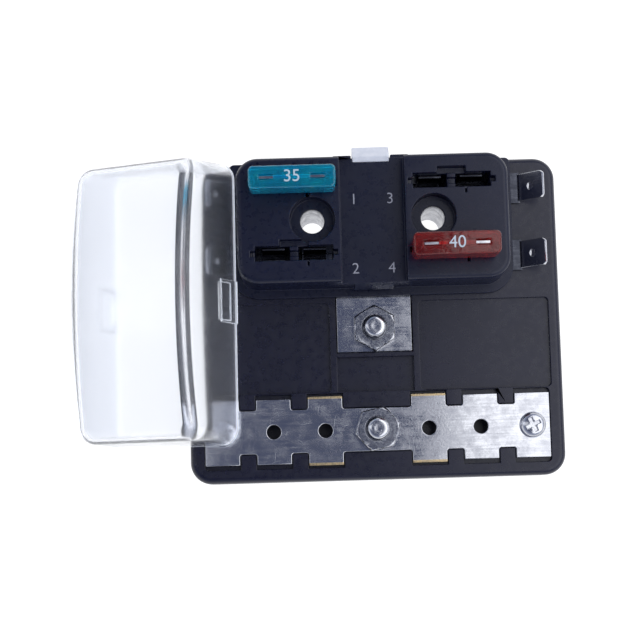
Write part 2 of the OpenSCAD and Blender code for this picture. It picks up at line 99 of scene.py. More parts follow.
def add_world():
    """Soft studio surround: bright towards the horizon and dim overhead."""
    world = bpy.data.worlds.new("studio")
    world.use_nodes = True
    tree = world.node_tree
    background = tree.nodes["Background"]
    place = tree.nodes.new("ShaderNodeTexCoord")
    split = tree.nodes.new("ShaderNodeSeparateXYZ")
    ramp = tree.nodes.new("ShaderNodeValToRGB")
    for element, (position, colour) in zip(ramp.color_ramp.elements, (HORIZON, OVERHEAD)):
        element.position = position
        element.color = (*colour, 1)
    middle = ramp.color_ramp.elements.new(MID_SKY[0])
    middle.color = (*MID_SKY[1], 1)
    tree.links.new(place.outputs["Generated"], split.inputs[0])
    tree.links.new(split.outputs["Z"], ramp.inputs[0])
    tree.links.new(ramp.outputs[0], background.inputs["Color"])
    background.inputs["Strength"].default_value = 1.0
    bpy.context.scene.world = world


def add_floor():
    """A plain pale floor that glows enough to stay white."""
    data = bpy.data.meshes.new("floor")
    corners = [(x * FLOOR_HALF, y * FLOOR_HALF, FLOOR_Z) for x, y in ((-1, -1), (1, -1), (1, 1), (-1, 1))]
    data.from_pydata(corners, [], [(0, 1, 2, 3)])
    floor = bpy.data.objects.new("floor", data)
    bpy.context.scene.collection.objects.link(floor)
    material = bpy.data.materials.new("floor")
    material.use_nodes = True
    shader = material.node_tree.nodes["Principled BSDF"]
    shader.inputs["Base Color"].default_value = FLOOR_COLOUR
    shader.inputs["Roughness"].default_value = FLOOR_ROUGHNESS
    shader.inputs["Emission Color"].default_value = (1, 1, 1, 1)
    shader.inputs["Emission Strength"].default_value = FLOOR_GLOW
    data.materials.append(material)


def set_stage():
    add_camera()
    add_world()
    add_floor()
    add_area_light("softbox", place=(0.352, 0.0, 0.45), target=(0.352, 0.0, 0.0),
                   size=(0.6, 0.9), power=2.6)
    add_area_light("edge_light", place=(-0.34, 0.05, 0.48), target=(0.0, 0.0, 0.0),
                   size=(0.16, 0.6), power=0.25)
    bpy.context.scene.view_settings.view_transform = "Standard"


# ---- material building ----

PATCH_EDGES = (0.35, 0.65)  # noise levels between which a mottle goes from one colour to the other
WANDER = (0.3, 0.7)  # noise levels that a varied value is spread over
SCRATCH_LEVEL = 0.74  # noise level above which a scratch shows
SCRATCH_EDGE = 0.08
SCRATCH_TURN = 0.01


class Recipe:
    """A material being built from nodes, in the object's own coordinates."""

    def __init__(self, name):
        self.material = bpy.data.materials.new(name)
        self.material.use_nodes = True
        self.tree = self.material.node_tree
        self.shader = self.tree.nodes["Principled BSDF"]
        self.place = self.add("ShaderNodeTexCoord").outputs["Object"]

    def add(self, kind, **settings):
        node = self.tree.nodes.new(kind)
        for key, value in settings.items():
            setattr(node, key, value)
        return node

    def link(self, source, target):
        self.tree.links.new(source, target)

    def feed(self, socket, value):
        """Links value to one of the shader's sockets."""
        self.link(value, self.shader.inputs[socket])

    def set(self, **values):
        for key, value in values.items():
            self.shader.inputs[key.replace("_", " ")].default_value = value

    def stretched(self, scale, angle=0.0):
        """Object coordinates turned by angle in the XY plane, then scaled along each axis."""
        turn = self.add("ShaderNodeMapping")
        turn.inputs["Rotation"].default_value = (0, 0, angle)
        self.link(self.place, turn.inputs["Vector"])
        grow = self.add("ShaderNodeMapping")
        grow.inputs["Scale"].default_value = scale
        self.link(turn.outputs[0], grow.inputs["Vector"])
        return grow.outputs[0]

    def noise(self, size_mm, detail, vector=None, roughness=0.5):
        """Noise with features of about size_mm, or of about 1 in the units of vector."""
        node = self.add("ShaderNodeTexNoise")
        node.inputs["Scale"].default_value = 1.0 if vector else 1 / (size_mm * MM)
        node.inputs["Detail"].default_value = detail
        node.inputs["Roughness"].default_value = roughness
        self.link(vector or self.place, node.inputs["Vector"])
        return node.outputs["Fac"]

    def remap(self, value, low, high, to_low, to_high):
        node = self.add("ShaderNodeMapRange")
        for socket, number in zip(("From Min", "From Max", "To Min", "To Max"), (low, high, to_low, to_high)):
            node.inputs[socket].default_value = number
        self.link(value, node.inputs["Value"])
        return node.outputs[0]

    def mottle(self, size_mm, detail):
        """Soft patches of about size_mm, 0 to 1."""
        return self.remap(self.noise(size_mm, detail), *PATCH_EDGES, 0, 1)

    def varied(self, size_mm, detail, low, high):
        """A value that wanders between low and high over about size_mm."""
        return self.remap(self.noise(size_mm, detail), *WANDER, low, high)

    def maths(self, operation, a, b):
        node = self.add("ShaderNodeMath", operation=operation)
        for index, value in enumerate((a, b)):
            if isinstance(value, (int, float)):
                node.inputs[index].default_value = value
            else:
                self.link(value, node.inputs[index])
        return node.outputs[0]

    def raised(self, value, marks, amount):
        """value, greater by amount where marks is 1."""
        return self.maths("ADD", value, self.maths("MULTIPLY", marks, amount))

    def mix(self, factor, first, second):
        """Colour between first and second, each a colour or a socket."""
        node = self.add("ShaderNodeMix", data_type="RGBA")
        self.link(factor, node.inputs["Factor"])
        for socket, value in ((node.inputs[6], first), (node.inputs[7], second)):
            if isinstance(value, tuple):
                socket.default_value = (*value, 1)
            else:
                self.link(value, socket)
        return node.outputs[2]

    def bump(self, height, depth_mm, before=None):
        node = self.add("ShaderNodeBump")
        node.inputs["Strength"].default_value = 1
        node.inputs["Distance"].default_value = depth_mm * MM
        self.link(height, node.inputs["Height"])
        if before:
            self.link(before, node.inputs["Normal"])
        return node.outputs[0]

    def scratches(self, angles, length_mm, width_mm):
        """Thin straight marks in a few directions, 0 to 1."""
        total = None
        for index, angle in enumerate(angles):
            scale = (1 / (length_mm * MM), 1 / (width_mm * MM), 1 / (length_mm * MM))
            noise = self.noise(1, 1.0, self.stretched(scale, angle + SCRATCH_TURN * index))
            marks = self.remap(noise, SCRATCH_LEVEL, SCRATCH_LEVEL + SCRATCH_EDGE, 0, 1)
            total = marks if total is None else self.maths("MAXIMUM", total, marks)
        return total


def moulded_black(name, colour, second, specular=0.5):
    """Satin black thermoplastic with a fine grain, faint flow marks and handling scratches."""
    recipe = Recipe(name)
    roughness = 0.29
    recipe.feed("Base Color", recipe.mix(recipe.mottle(9, 4), colour, second))
    scratch = recipe.scratches((0.4, 1.3, 2.5), length_mm=7, width_mm=0.16)
    rough = recipe.varied(1.6, 5, roughness - 0.05, roughness + 0.06)
    recipe.feed("Roughness", recipe.raised(rough, scratch, 0.12))
    grain = recipe.bump(recipe.noise(0.16, 2), depth_mm=0.0022)
    recipe.feed("Normal", recipe.bump(scratch, -0.003, grain))
    recipe.set(Specular_IOR_Level=specular)
    return recipe.material


def tinned_metal(name, colour, dull, roughness=0.13):
    """Tin plate over brass: bright, blotchy, with rolled streaks along X and faint handling scratches."""
    recipe = Recipe(name)
    blotch_share, streak_share, worn_gain = 0.6, 0.4, 1.25
    streak_scale = (130, 2300, 130)
    blotch = recipe.remap(recipe.noise(3.2, 6, roughness=0.7), 0.42, 0.60, 0, blotch_share)
    streak = recipe.noise(1, 4, recipe.stretched(streak_scale))
    tone = recipe.maths("ADD", blotch, recipe.remap(streak, *PATCH_EDGES, 0, streak_share))
    scratch = recipe.scratches((0.05, 0.8, 1.7, 2.9), length_mm=6, width_mm=0.06)
    worn = tuple(min(1, channel * worn_gain) for channel in colour)
    plated = recipe.mix(tone, colour, dull)
    recipe.feed("Base Color", recipe.mix(recipe.maths("MULTIPLY", scratch, 0.5), plated, worn))
    rough = recipe.remap(tone, 0, 1, roughness - 0.04, roughness + 0.12)
    recipe.feed("Roughness", recipe.raised(rough, scratch, 0.10))
    wavy = recipe.bump(recipe.noise(5.0, 3), depth_mm=0.005)
    fine = recipe.bump(streak, 0.0025, wavy)
    pitted = recipe.bump(recipe.noise(0.6, 4), 0.005, fine)
    recipe.feed("Normal", recipe.bump(scratch, -0.0015, pitted))
    recipe.set(Metallic=1.0)
    return recipe.material


def brass_edge(name):
    """Bare sheared brass where the plating was cut through."""
    recipe = Recipe(name)
    bright, dull = (0.72, 0.55, 0.30), (0.52, 0.42, 0.27)
    streak_scale = (7000, 300, 300)
    recipe.feed("Base Color", recipe.mix(recipe.mottle(0.6, 4), bright, dull))
    streak = recipe.noise(1, 3, recipe.stretched(streak_scale))
    recipe.feed("Roughness", recipe.remap(streak, *WANDER, 0.22, 0.42))
    recipe.feed("Normal", recipe.bump(streak, 0.004))
    recipe.set(Metallic=1.0)
    return recipe.material


def plated_steel(name, colour, dull, dent_mm):
    """Bright zinc-plated steel with a mottle, handling scratches and small dents of depth dent_mm."""
    recipe = Recipe(name)
    recipe.feed("Base Color", recipe.mix(recipe.mottle(1.2, 5), colour, dull))
    scratch = recipe.scratches((0.3, 1.9), length_mm=2.5, width_mm=0.06)
    recipe.feed("Roughness", recipe.raised(recipe.varied(0.5, 4, 0.12, 0.24), scratch, 0.1))
    dents = recipe.bump(recipe.noise(0.9, 3), dent_mm)
    recipe.feed("Normal", recipe.bump(scratch, -0.001, dents))
    recipe.set(Metallic=1.0)
    return recipe.material


def tinted_plastic(name, colour, deep, transmission):
    """Clear tinted fuse plastic with slight flow lines and soft surface waviness."""
    recipe = Recipe(name)
    recipe.feed("Base Color", recipe.mix(recipe.mottle(2.2, 3), colour, deep))
    recipe.feed("Roughness", recipe.varied(0.8, 4, 0.04, 0.12))
    recipe.feed("Normal", recipe.bump(recipe.noise(1.3, 2), depth_mm=0.02))
    recipe.set(Transmission_Weight=transmission, IOR=1.5)
    return recipe.material


def clear_plastic(name, clearness, roughness, painted_glow=0.0):
    """Clear moulded polycarbonate with a slight milkiness, a soft haze, flow waves and hairline scratches.
    Its optional glow is painted light: an emission that stands in for the light that such plastic pipes to
    its edges."""
    recipe = Recipe(name)
    recipe.set(Base_Color=(0.925, 0.945, 0.985, 1), Transmission_Weight=clearness, IOR=1.5)
    scratch = recipe.scratches((0.2, 1.2, 2.2), length_mm=6, width_mm=0.09)
    recipe.feed("Roughness", recipe.raised(recipe.varied(5, 3, roughness, roughness + 0.06), scratch, 0.1))
    recipe.feed("Normal", recipe.bump(recipe.noise(7, 2), depth_mm=0.03))
    if painted_glow:
        recipe.set(Emission_Color=(0.85, 0.90, 1.0, 1), Emission_Strength=painted_glow)
    return recipe.material


def plain_plastic(name, colour, second, roughness):
    """Undyed moulded plastic or sheet with a faint mottle and grain."""
    recipe = Recipe(name)
    recipe.feed("Base Color", recipe.mix(recipe.mottle(1.5, 4), colour, second))
    recipe.feed("Roughness", recipe.varied(0.5, 3, roughness - 0.06, roughness + 0.06))
    recipe.feed("Normal", recipe.bump(recipe.noise(0.25, 3), depth_mm=0.004))
    return recipe.material


# ---- mesh building ----

FLAT_ANGLE = 0.5  # degrees; faces of the CAD mesh that differ by less are one face
WEIGHT = 60
EDGE_SEGMENTS = 2
EDGE_ANGLE = 35


def finish_piece(piece, body, slot_name, *nodes):
    """Lets a piece ride on body and hides the CAD nodes that it stands for. slot_name is not used."""
    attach(piece, body)
    if nodes:
        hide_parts(*nodes)
    return piece


def add_object(name, mesh, *materials):
    piece = bpy.data.objects.new(name, mesh)
    bpy.context.scene.collection.objects.link(piece)
    for material in materials:
        mesh.materials.append(material)
    return piece


def applied(piece):
    """Bakes a piece's modifiers into its mesh."""
    graph = bpy.context.evaluated_depsgraph_get()
    mesh = bpy.data.meshes.new_from_object(piece.evaluated_get(graph), preserve_all_data_layers=True,
                                           depsgraph=graph)
    piece.modifiers.clear()
    old = piece.data
    piece.data = mesh
    mesh.name = piece.name
    bpy.data.meshes.remove(old)


def smooth(mesh, angle=50):
    """Smooth shading, with edges sharper than angle kept."""
    for polygon in mesh.polygons:
        polygon.use_smooth = True
    mesh.set_sharp_from_angle(angle=math.radians(angle))


def flatten_shading(piece):
    """Lets the large faces decide the shading of their borders, so that flats look flat."""
    weigh = piece.modifiers.new("weigh", "WEIGHTED_NORMAL")
    weigh.weight = WEIGHT
    weigh.keep_sharp = True
    applied(piece)


def round_edges(piece, width_mm, segments, angle):
    """Rounds the edges that turn by more than angle degrees."""
    bevel = piece.modifiers.new("round", "BEVEL")
    bevel.width = width_mm * MM
    bevel.segments = segments
    bevel.limit_method = "ANGLE"
    bevel.angle_limit = math.radians(angle)
    bevel.use_clamp_overlap = False
    applied(piece)


def split_faces(work, place, normal):
    """Divides the faces that a plane crosses, without moving anything."""
    everything = work.verts[:] + work.edges[:] + work.faces[:]
    bmesh.ops.bisect_plane(work, geom=everything, dist=WELD, plane_co=place, plane_no=normal)


def mesh_of(name, work):
    """Turns a bmesh into a mesh and frees it."""
    mesh = bpy.data.meshes.new(name)
    work.to_mesh(mesh)
    work.free()
    return mesh


def rounded_copy(node, name, width_mm, *materials, bore_xs=()):
    """A copy of a CAD node whose hard edges are rounded by width_mm.
    Its faces are divided at plus and minus each of bore_xs, so that no face has a hole in it."""
    work = bmesh.new()
    work.from_mesh(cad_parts[node].data)
    bmesh.ops.remove_doubles(work, verts=work.verts, dist=WELD)
    bmesh.ops.dissolve_limit(work, angle_limit=math.radians(FLAT_ANGLE), verts=work.verts, edges=work.edges)
    for bore_x in bore_xs:
        for side in (-1, 1):
            split_faces(work, (side * bore_x * MM, 0, 0), (1, 0, 0))
    piece = add_object(name, mesh_of(name, work), *materials)
    round_edges(piece, width_mm, EDGE_SEGMENTS, EDGE_ANGLE)
    smooth(piece.data)
    flatten_shading(piece)
    return piece


def lathe_grid(rings, closed=True):
    """Mesh data from rings of points with the same count: quads between rings, and caps where closed."""
    count = len(rings[0])
    points = [p for ring in rings for p in ring]
    faces = []
    for r in range(len(rings) - 1):
        for k in range(count):
            n = (k + 1) % count
            faces.append((r * count + k, r * count + n, (r + 1) * count + n, (r + 1) * count + k))
    if closed:
        last = (len(rings) - 1) * count
        faces.append(tuple(reversed(range(count))))
        faces.append(tuple(last + k for k in range(count)))
    return points, faces


def welded_mesh(name, points, faces):
    """A mesh from points in metres, with doubled points joined and all faces turned outwards."""
    work = bmesh.new()
    verts = [work.verts.new(point) for point in points]
    for face in faces:
        work.faces.new([verts[index] for index in face])
    bmesh.ops.remove_doubles(work, verts=work.verts, dist=WELD)
    bmesh.ops.dissolve_degenerate(work, dist=WELD / 10, edges=work.edges)
    bmesh.ops.recalc_face_normals(work, faces=work.faces)
    return mesh_of(name, work)


def box_mesh(name, centre, size):
    """A plain box, used only to cut with or to join on."""
    work = bmesh.new()
    bmesh.ops.create_cube(work, size=1)
    bmesh.ops.scale(work, vec=[s * MM for s in size], verts=work.verts)
    bmesh.ops.translate(work, vec=[c * MM for c in centre], verts=work.verts)
    return mesh_of(name, work)


def carve(piece, mesh, operation="DIFFERENCE"):
    """Cuts a mesh out of a piece, or joins it on."""
    tool = add_object("tool", mesh)
    step = piece.modifiers.new("carve", "BOOLEAN")
    step.operation = operation
    step.solver = "EXACT"
    step.object = tool
    applied(piece)
    bpy.data.objects.remove(tool)


def turn_angles(count):
    return [2 * math.pi * k / count for k in range(count)]


# ---- studs, in mm ----

STUD_SIDES = 56
STUD_R = 2.4
THREAD_DEPTH = 0.38
THREAD_PITCH = 0.8
ROWS_PER_TURN = 10
CREST_POWER = 1.4
THREAD_LOW_Z, FADE_IN = 9.6, 0.8  # where the thread starts, and over what length it reaches full depth
THREAD_TOP_GAP, FADE_OUT = 0.9, 0.6  # how far below the tip it ends, and over what length it runs out
HEAD_HALF_FLATS = 4.0
HEAD_H = 2.8
HEAD_CHAMFER, HEAD_SHRINK = 0.3, 0.93
TIP_START = 0.5
TIP = ((2.25, 0.35), (1.95, 0.12), (1.55, 0.05), (0.8, 0.10), (0.2, 0.12))  # radius, distance below the top


def hexagon_radius(corner, angle):
    """Distance from the centre to a hexagon's side in direction angle.
    Its corners are at multiples of 60 degrees."""
    sector = math.pi / 3
    return corner * math.cos(sector / 2) / math.cos(angle % sector - sector / 2)


def head_ring(grow, z):
    """A ring of the hexagonal head at height z, as radius, angle and height."""
    corner = HEAD_HALF_FLATS / math.cos(math.radians(30))
    return [(hexagon_radius(corner * grow, angle), angle, z) for angle in turn_angles(STUD_SIDES)]


def thread_ring(z, top):
    """A ring of the thread at height z on a stud that ends at top, as radius, angle and height."""
    run_out = max(0, (top - THREAD_TOP_GAP - z) / FADE_OUT)
    run_in = max(0, (z - THREAD_LOW_Z) / FADE_IN)
    depth = THREAD_DEPTH * min(1, run_out, run_in)
    ring = []
    for angle in turn_angles(STUD_SIDES):
        phase = (z / THREAD_PITCH - angle / (2 * math.pi)) % 1
        ring.append((STUD_R - depth * abs(2 * phase - 1) ** CREST_POWER, angle, z))
    return ring


def threaded_stud(node, name, material):
    """A stud's shank with a rolled thread, a chamfered tip and its hexagonal head below."""
    low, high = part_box(node)
    centre = (low + high) / 2
    foot, top = low.z / MM, high.z / MM
    bottom = foot + HEAD_H
    rings = [head_ring(HEAD_SHRINK, foot), head_ring(1.0, foot + HEAD_CHAMFER), head_ring(1.0, bottom)]
    shank = top - TIP_START - bottom
    rows = int(shank / (THREAD_PITCH / ROWS_PER_TURN))
    rings += [thread_ring(bottom + row * shank / rows, top) for row in range(rows + 1)]
    for radius, drop in TIP:
        rings.append([(radius, angle, top - drop) for angle in turn_angles(STUD_SIDES)])
    placed = [[(centre.x + r * MM * math.cos(a), centre.y + r * MM * math.sin(a), z * MM) for r, a, z in ring]
              for ring in rings]
    points, faces = lathe_grid(placed)
    mesh = bpy.data.meshes.new(name)
    mesh.from_pydata(points, [], faces)
    mesh.validate()
    smooth(mesh)
    finish_piece(add_object(name, mesh, material), "housing", "plated_steel", node)


# ---- cover, in mm and degrees ----

COVER_L, COVER_W, COVER_H, COVER_CROWN = 65.4, 33.2, 18.0, 3.2
COVER_WALL, COVER_LEAN, COVER_TURN = 1.2, 27.6, -0.4
COVER_CORNER, COVER_EDGE, SOFT_EDGE, INNER_EDGE = 4.0, 1.2, 3.0, 1.8
THICK_W, THICK_H = 2.6, 7.5  # the thickened inner edge on the +X side
BEAD = 0.5
BEAD_STEPS = 8
RIM_SHARE = 0.9  # the part of the bead's height that has the rim's material
OUTER_DRAFT, INNER_DRAFT, END_DRAFT = 0.2, 0.4, 1.0
TOP_EXTRA = 0.2  # how much thicker the top is than the walls
CROWN_MARGIN = 1
SMALLEST_CORNER = 0.6
STRAIGHT_STEPS, CORNER_STEPS, WALL_STEPS, EDGE_STEP = 26, 8, 12, 10
TOP_SHARES = (0.9, 0.75, 0.55, 0.3, 0.0)
PAD_INSET, PAD_Z, PAD_SIZE = 0.3, 3.8, (1.2, 9.8, 7.2)
POCKET_Z, POCKET_L, POCKET_H, POCKET_BITE = 4.9, 8.6, 5, 1
PAD_EDGE, PAD_EDGE_SEGMENTS, PAD_EDGE_ANGLE = 0.2, 3, 60
COVER_SMOOTH = 40
RIM_X, RIM_Y = -31.56, 4.16  # where the lifted side of the rim rests


def edge_inset(z, top, width, height):
    """How far a rounded edge, width by height, has drawn in from the wall at height z."""
    rise = max(0.0, (z - top + height) / height)
    return width * (1 - math.sqrt(max(0.0, 1 - rise * rise)))


def cover_outline(x_low, x_high, half_l, radius):
    """Points round a rounded rectangle, with each straight side divided as finely as the next."""
    outline = []
    corners = ((x_high - radius, 1, 0), (x_low + radius, 1, 90),
               (x_low + radius, -1, 180), (x_high - radius, -1, 270))
    for centre_x, side, start in corners:
        for k in range(CORNER_STEPS + 1):
            angle = math.radians(start + 90 * k / CORNER_STEPS)
            outline.append((centre_x + radius * math.cos(angle),
                            side * (half_l - radius) + radius * math.sin(angle)))
    filled = []
    for index, here in enumerate(outline):
        after = outline[(index + 1) % len(outline)]
        filled.append(here)
        if index % (CORNER_STEPS + 1) == CORNER_STEPS:
            filled += [tuple(h + (a - h) * k / STRAIGHT_STEPS for h, a in zip(here, after))
                       for k in range(1, STRAIGHT_STEPS)]
    return filled


def cover_ring(x_low, x_high, half_l, radius, lift, crown):
    """A closed ring of points round the cover: lift is its height, crown its extra rise at mid length."""
    reach = COVER_L / 2 - CROWN_MARGIN
    return [(x, y, lift + crown * max(0.0, 1 - (y / reach) ** 2))
            for x, y in cover_outline(x_low, x_high, half_l, radius)]


def cover_skin(inset, top, draft, corner, edge, thick_w, thick_h):
    """Rings of one skin of the cover, from the rim up the wall and over the edge to a ridge line on the top.
    The edge on the +X side is thick_w wide and thick_h high, and the other three have radius edge."""
    half_w, half_l = COVER_W / 2 - inset, COVER_L / 2 - inset
    levels = [top * k / WALL_STEPS for k in range(WALL_STEPS)]
    levels += [top - edge * (1 - math.sin(math.radians(a))) for a in range(0, 91, EDGE_STEP)]
    rings = []
    for z in sorted(levels):
        share = z / top
        pull = edge_inset(z, top, edge, edge)
        pull_thick = edge_inset(z, top, thick_w, thick_h)
        rings.append((-half_w + draft * share + pull, half_w - draft * share - pull_thick,
                      half_l - END_DRAFT * share - pull, max(SMALLEST_CORNER, corner - pull), z, share))
    low, high, reach_l, reach_r = rings[-1][:4]
    middle, reach_w = (low + high) / 2, (high - low) / 2
    for share in TOP_SHARES:
        rings.append((middle - reach_w * share, middle + reach_w * share, reach_l - reach_w * (1 - share),
                      reach_r * share, top, 1))
    return [cover_ring(a, b, l, r, z, COVER_CROWN * c ** 2) for a, b, l, r, z, c in rings]


def cover_mesh(name):
    """The cover's shell with its rim at z = 0: both skins and the rounded rim between them."""
    outer = cover_skin(0, COVER_H, OUTER_DRAFT, COVER_CORNER, SOFT_EDGE, COVER_EDGE, COVER_EDGE)
    inner = cover_skin(COVER_WALL, COVER_H - COVER_WALL - TOP_EXTRA, INNER_DRAFT, COVER_CORNER - COVER_WALL,
                       INNER_EDGE, THICK_W, THICK_H)
    bead = []
    for step in range(1, BEAD_STEPS):
        turn = math.pi * step / BEAD_STEPS
        share = (1 - math.cos(turn)) / 2
        z = BEAD * (1 - math.sin(turn))
        bead.append([(a[0] + (b[0] - a[0]) * share, a[1] + (b[1] - a[1]) * share, z)
                     for a, b in zip(outer[0], inner[0])])
    outer[0] = [(x, y, BEAD) for x, y, z in outer[0]]
    inner[0] = [(x, y, BEAD) for x, y, z in inner[0]]
    points, faces = lathe_grid(list(reversed(inner)) + list(reversed(bead)) + outer, closed=False)
    return welded_mesh(name, [[c * MM for c in point] for point in points], faces)


def cover_place():
    """Where the cover lies: leaning on the base's left edge, with one side of its rim lifted."""
    lean = math.radians(COVER_LEAN)
    turn = Matrix.Rotation(math.radians(COVER_TURN), 4, "Z") @ Matrix.Rotation(-lean, 4, "Y")
    rim = Vector((RIM_X, RIM_Y, COVER_W * math.sin(lean))) * MM
    return Matrix.Translation(rim) @ turn @ Matrix.Translation((-COVER_W / 2 * MM, 0, 0))


def build_cover(material, rim_material):
    piece = add_object("cover_shell", cover_mesh("cover_shell"), material, rim_material)
    for side in (-1, 1):
        pad = box_mesh("pad", (side * (COVER_W / 2 - PAD_INSET), 0, PAD_Z), PAD_SIZE)
        carve(piece, pad, "UNION")
    pocket_size = (COVER_W - 2 * COVER_WALL + POCKET_BITE, POCKET_L, POCKET_H)
    carve(piece, box_mesh("pocket", (0, 0, POCKET_Z), pocket_size))
    round_edges(piece, PAD_EDGE, PAD_EDGE_SEGMENTS, PAD_EDGE_ANGLE)
    smooth(piece.data, COVER_SMOOTH)
    flatten_shading(piece)
    for polygon in piece.data.polygons:
        # The bead takes the rim's material, with its painted glow.
        if polygon.center.z < RIM_SHARE * BEAD * MM:
            polygon.material_index = 1
    piece.data.transform(cover_place())
    finish_piece(piece, "cover", "clear_cover", "cover")


# ---- lettering, in mm ----

CAP_SHARE = 0.70  # height of a digit as a share of the font's size
DIGIT_RISE = 0.03
FUSE_DIGIT_H = 2.7
LABEL_H, LABEL_WEIGHT, LABEL_Z = 2.5, -0.03, 20.0
LABELS = ((1, -4.15, 26.65), (2, -4.15, 10.65), (3, 4.15, 26.65), (4, 4.15, 10.65))


def add_digits(name, text, place, height_mm, body, slot_name, material, weight=0.0):
    """Flat raised digits, centred on place."""
    data = bpy.data.curves.new(name, "FONT")
    data.body = text
    data.size = height_mm / CAP_SHARE * MM
    data.align_x = "CENTER"
    data.align_y = "CENTER"
    data.extrude = DIGIT_RISE * MM
    data.offset = weight * MM
    data.materials.append(material)
    piece = bpy.data.objects.new(name, data)
    bpy.context.scene.collection.objects.link(piece)
    piece.location = place
    finish_piece(piece, body, slot_name)


# ---- the parts, in mm ----

# How much each part's edges are rounded
BASE_EDGE, BLOCK_EDGE, SHEET_EDGE, LATCH_EDGE = 0.11, 0.22, 0.12, 0.25
BAR_EDGE, PLATE_EDGE, TAB_EDGE, CLIP_EDGE = 0.18, 0.15, 0.1, 0.08
PAN_SCREW_EDGE, FLAT_SCREW_EDGE, NUT_EDGE = 0.10, 0.06, 0.3
FUSE_EDGE, BLADE_EDGE = 0.15, 0.06

# Distances of bores and lugs from the middle
MOUNT_X, BLOCK_SCREW_X, BACK_SCREW_X = 13.78, 27.6, 37.5
BAR_BORES = (0, 12, 24, 36)
BASE_SPLITS = (0, 12, MOUNT_X, 18, 24, BLOCK_SCREW_X, 30, 36, BACK_SCREW_X)
TAB_BORE_X = 37.71
FUSE_BORES = (12.3, 23.9)

BENT_X, BENT_HALF, BENT_REACH = 12, 5, 7.4  # the bar's tongues whose cut ends show brass
SLEEVE_BORE_R, SLEEVE_CHAMFER, SLEEVE_SIDES, SLEEVE_SMOOTH = 2.75, 0.2, 64, 40
BLOCK_WALL_X, TAB_BEND_X, FACING_UP = 31, 35.2, 0.9


def build_housing(black, block_black, sheet, light):
    base = rounded_copy("base", "base_moulding", BASE_EDGE, black, bore_xs=BASE_SPLITS)
    finish_piece(base, "housing", "moulded_black", "base")
    block = rounded_copy("fuse_block", "block_moulding", BLOCK_EDGE, block_black,
                         bore_xs=(MOUNT_X, BLOCK_SCREW_X))
    finish_piece(block, "housing", "moulded_black", "fuse_block")
    back = rounded_copy("back_plate", "back_sheet", SHEET_EDGE, sheet, bore_xs=(MOUNT_X, BACK_SCREW_X))
    finish_piece(back, "housing", "insulating_sheet", "back_plate")
    latch = rounded_copy("rear_latch", "latch_tongue", LATCH_EDGE, light)
    finish_piece(latch, "housing", "light_plastic", "rear_latch")


def cut_ends(piece, middle_y):
    """Gives the second material to the bent tongues' ends that reach past BENT_REACH from middle_y."""
    work = bmesh.new()
    work.from_mesh(piece.data)
    for side in (-1, 1):
        split_faces(work, (0, middle_y + side * BENT_REACH * MM, 0), (0, 1, 0))
    for face in work.faces:
        centre = face.calc_center_median()
        at_end = abs(centre.y - middle_y) > BENT_REACH * MM
        if at_end and abs(abs(centre.x) - BENT_X * MM) < BENT_HALF * MM:
            face.material_index = 1
    work.to_mesh(piece.data)
    work.free()


def build_sleeve(side, material):
    """The metal tube of a mounting hole, chamfered at both mouths. Its material is a darker tin, painted
    shade for the inside of the hole.
    """
    low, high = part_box(f"mount_sleeve_{side}")
    middle = (low + high) / 2
    outer, inner, chamfer = (high.x - low.x) / 2, SLEEVE_BORE_R * MM, SLEEVE_CHAMFER * MM
    profile = [(outer, low.z), (outer, high.z - chamfer), (outer - chamfer, high.z),
               (inner + chamfer, high.z), (inner, high.z - chamfer),
               (inner, low.z + chamfer), (inner + chamfer, low.z)]
    rings = [[(middle.x + r * math.cos(a), middle.y + r * math.sin(a), z) for a in turn_angles(SLEEVE_SIDES)]
             for r, z in profile + profile[:1]]
    mesh = welded_mesh(f"sleeve_{side}", *lathe_grid(rings, closed=False))
    smooth(mesh, SLEEVE_SMOOTH)
    finish_piece(add_object(mesh.name, mesh, material), "housing", "tinned_metal", f"mount_sleeve_{side}")


def darken_terminal(piece):
    """Gives the second material, a darker tin that is painted shade, to what lies inside the block's wall,
    and to the upward faces of the flat strip before the bend."""
    for polygon in piece.data.polygons:
        x = abs(polygon.center.x) / MM
        if x < BLOCK_WALL_X or (x < TAB_BEND_X and polygon.normal.z > FACING_UP):
            polygon.material_index = 1


def build_bars(tinned, brass):
    bar = rounded_copy("negative_bar", "bus_bar", BAR_EDGE, tinned, brass, bore_xs=BAR_BORES)
    low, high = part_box("negative_bar")
    cut_ends(bar, (low.y + high.y) / 2)
    flatten_shading(bar)
    finish_piece(bar, "housing", "tinned_metal", "negative_bar")
    plate = rounded_copy("positive_bus", "input_plate", PLATE_EDGE, tinned, bore_xs=(0,))
    finish_piece(plate, "housing", "tinned_metal", "positive_bus")


def build_sides(steel, sleeve_tin_painted_shade):
    """Sleeves and screws that come in pairs, one on each side."""
    for side in ("left", "right"):
        build_sleeve(side, sleeve_tin_painted_shade)
        screw = rounded_copy(f"bar_screw_{side}", f"pan_screw_{side}", PAN_SCREW_EDGE, steel)
        finish_piece(screw, "housing", "plated_steel", f"bar_screw_{side}")
        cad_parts[f"block_screw_{side}"].data.materials[0] = steel


def build_contacts(terminal, shaded_tin, steel):
    """The output tab and input clip of each fuse position, and the back plate's screws."""
    for number in range(1, 5):
        tab = rounded_copy(f"terminal_{number}", f"tab_{number}", TAB_EDGE, terminal, shaded_tin,
                           bore_xs=(TAB_BORE_X,))
        darken_terminal(tab)
        finish_piece(tab, "housing", "terminal_metal", f"terminal_{number}")
        # The clip takes the darker tin: painted shade for the slot that it sits in.
        clip = rounded_copy(f"input_clip_{number}", f"clip_{number}", CLIP_EDGE, shaded_tin)
        finish_piece(clip, "housing", "tinned_metal", f"input_clip_{number}")
        screw = rounded_copy(f"back_screw_{number}", f"flat_screw_{number}", FLAT_SCREW_EDGE, steel,
                             bore_xs=(BACK_SCREW_X,))
        finish_piece(screw, "housing", "plated_steel", f"back_screw_{number}")


